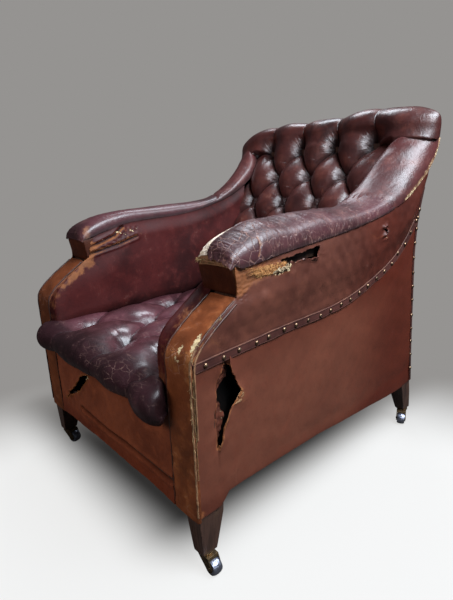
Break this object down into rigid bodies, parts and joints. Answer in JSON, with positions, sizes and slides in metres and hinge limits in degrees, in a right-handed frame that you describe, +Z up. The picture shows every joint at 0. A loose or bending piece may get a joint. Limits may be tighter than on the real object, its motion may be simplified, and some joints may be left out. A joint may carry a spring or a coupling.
{
  "type": "club chair",
  "caption": "Worn, torn leather club chair with deep-buttoned seat and back, roll-over arms, nailed side panels and short wooden legs on castors.",
  "frame": {"origin": "on the floor, under the middle of the chair's bounding box", "axes": "+Z up, the chair faces -Y, +X to the right as seen from in front"},
  "size_m": [0.7325, 0.9445, 0.932],
  "materials": {
    "maroon_leather": "worn, glossy",
    "tan_leather": "worn, satin",
    "russet_leather": "worn, satin",
    "band_leather": "worn, satin",
    "dark_wood": "stained, worn",
    "webbing": "coarse jute",
    "stuffing": "loose horsehair",
    "spring_steel": "dull",
    "castor_brass": "dull, dark",
    "castor_steel": "worn"
  },
  "bodies": {
    "chair": {"front_post_left": "dark_wood", "front_post_right": "dark_wood", "back_post_left": "dark_wood", "back_post_right": "dark_wood", "front_rail": "dark_wood", "back_rail": "dark_wood", "lower_back_rail": "dark_wood", "top_back_rail": "dark_wood", "side_rail_left": "dark_wood", "side_rail_right": "dark_wood", "middle_rail_left": "dark_wood", "middle_rail_right": "dark_wood", "arm_rail_left": "dark_wood", "arm_rail_right": "dark_wood", "cross_strap_1": "webbing", "cross_strap_2": "webbing", "cross_strap_3": "webbing", "long_strap_left": "webbing", "long_strap_right": "webbing", "spring_platform": "webbing", "seat_spring_left_1": "spring_steel", "seat_spring_left_2": "spring_steel", "seat_spring_left_3": "spring_steel", "seat_spring_right_1": "spring_steel", "seat_spring_right_2": "spring_steel", "seat_spring_right_3": "spring_steel", "seat_stuffing": "stuffing", "back_stuffing": "stuffing", "arm_stuffing_left": "stuffing", "arm_stuffing_right": "stuffing", "seat_cover": "maroon_leather", "back_cover": "maroon_leather", "outside_back": "maroon_leather", "arm_pad_left": "maroon_leather", "arm_pad_right": "maroon_leather", "inside_arm_left": "maroon_leather", "inside_arm_right": "maroon_leather", "outside_arm_left": "maroon_leather", "outside_arm_right": "maroon_leather", "arm_facing_left": "tan_leather", "arm_facing_right": "tan_leather", "outside_side_left": "russet_leather", "outside_side_right": "russet_leather", "front_border": "russet_leather", "nailed_band_left": "band_leather", "nailed_band_right": "band_leather", "castor_plate_front_right": "castor_brass", "castor_plate_front_left": "castor_brass", "castor_plate_back_right": "castor_brass", "castor_plate_back_left": "castor_brass"},
    "horn_front_right": {"castor_horn_front_right": "castor_brass"},
    "wheel_front_right": {"castor_wheel_front_right": "castor_steel"},
    "horn_front_left": {"castor_horn_front_left": "castor_brass"},
    "wheel_front_left": {"castor_wheel_front_left": "castor_steel"},
    "horn_back_right": {"castor_horn_back_right": "castor_brass"},
    "wheel_back_right": {"castor_wheel_back_right": "castor_steel"},
    "horn_back_left": {"castor_horn_back_left": "castor_brass"},
    "wheel_back_left": {"castor_wheel_back_left": "castor_steel"}
  },
  "joints": [
    {"name": "swivel_front_right", "type": "hinge", "parent": "chair", "child": "horn_front_right", "pos_m": [0.332, -0.396, 0.0386], "axis": [0, 0, 1], "continuous": true},
    {"name": "roll_front_right", "type": "hinge", "parent": "horn_front_right", "child": "wheel_front_right", "pos_m": [0.354, -0.396, 0.0175], "axis": [0, 1, 0], "continuous": true},
    {"name": "swivel_front_left", "type": "hinge", "parent": "chair", "child": "horn_front_left", "pos_m": [-0.332, -0.396, 0.0386], "axis": [0, 0, 1], "continuous": true},
    {"name": "roll_front_left", "type": "hinge", "parent": "horn_front_left", "child": "wheel_front_left", "pos_m": [-0.31075, -0.39031, 0.0175], "axis": [-0.2588, 0.9659, 0], "continuous": true},
    {"name": "swivel_back_right", "type": "hinge", "parent": "chair", "child": "horn_back_right", "pos_m": [0.333, 0.42, 0.0386], "axis": [0, 0, 1], "continuous": true},
    {"name": "roll_back_right", "type": "hinge", "parent": "horn_back_right", "child": "wheel_back_right", "pos_m": [0.3423, 0.40006, 0.0175], "axis": [0.9063, 0.4226, 0], "continuous": true},
    {"name": "swivel_back_left", "type": "hinge", "parent": "chair", "child": "horn_back_left", "pos_m": [-0.333, 0.42, 0.0386], "axis": [0, 0, 1], "continuous": true},
    {"name": "roll_back_left", "type": "hinge", "parent": "horn_back_left", "child": "wheel_back_left", "pos_m": [-0.344, 0.40095, 0.0175], "axis": [0.866, -0.5, 0], "continuous": true}
  ]
}
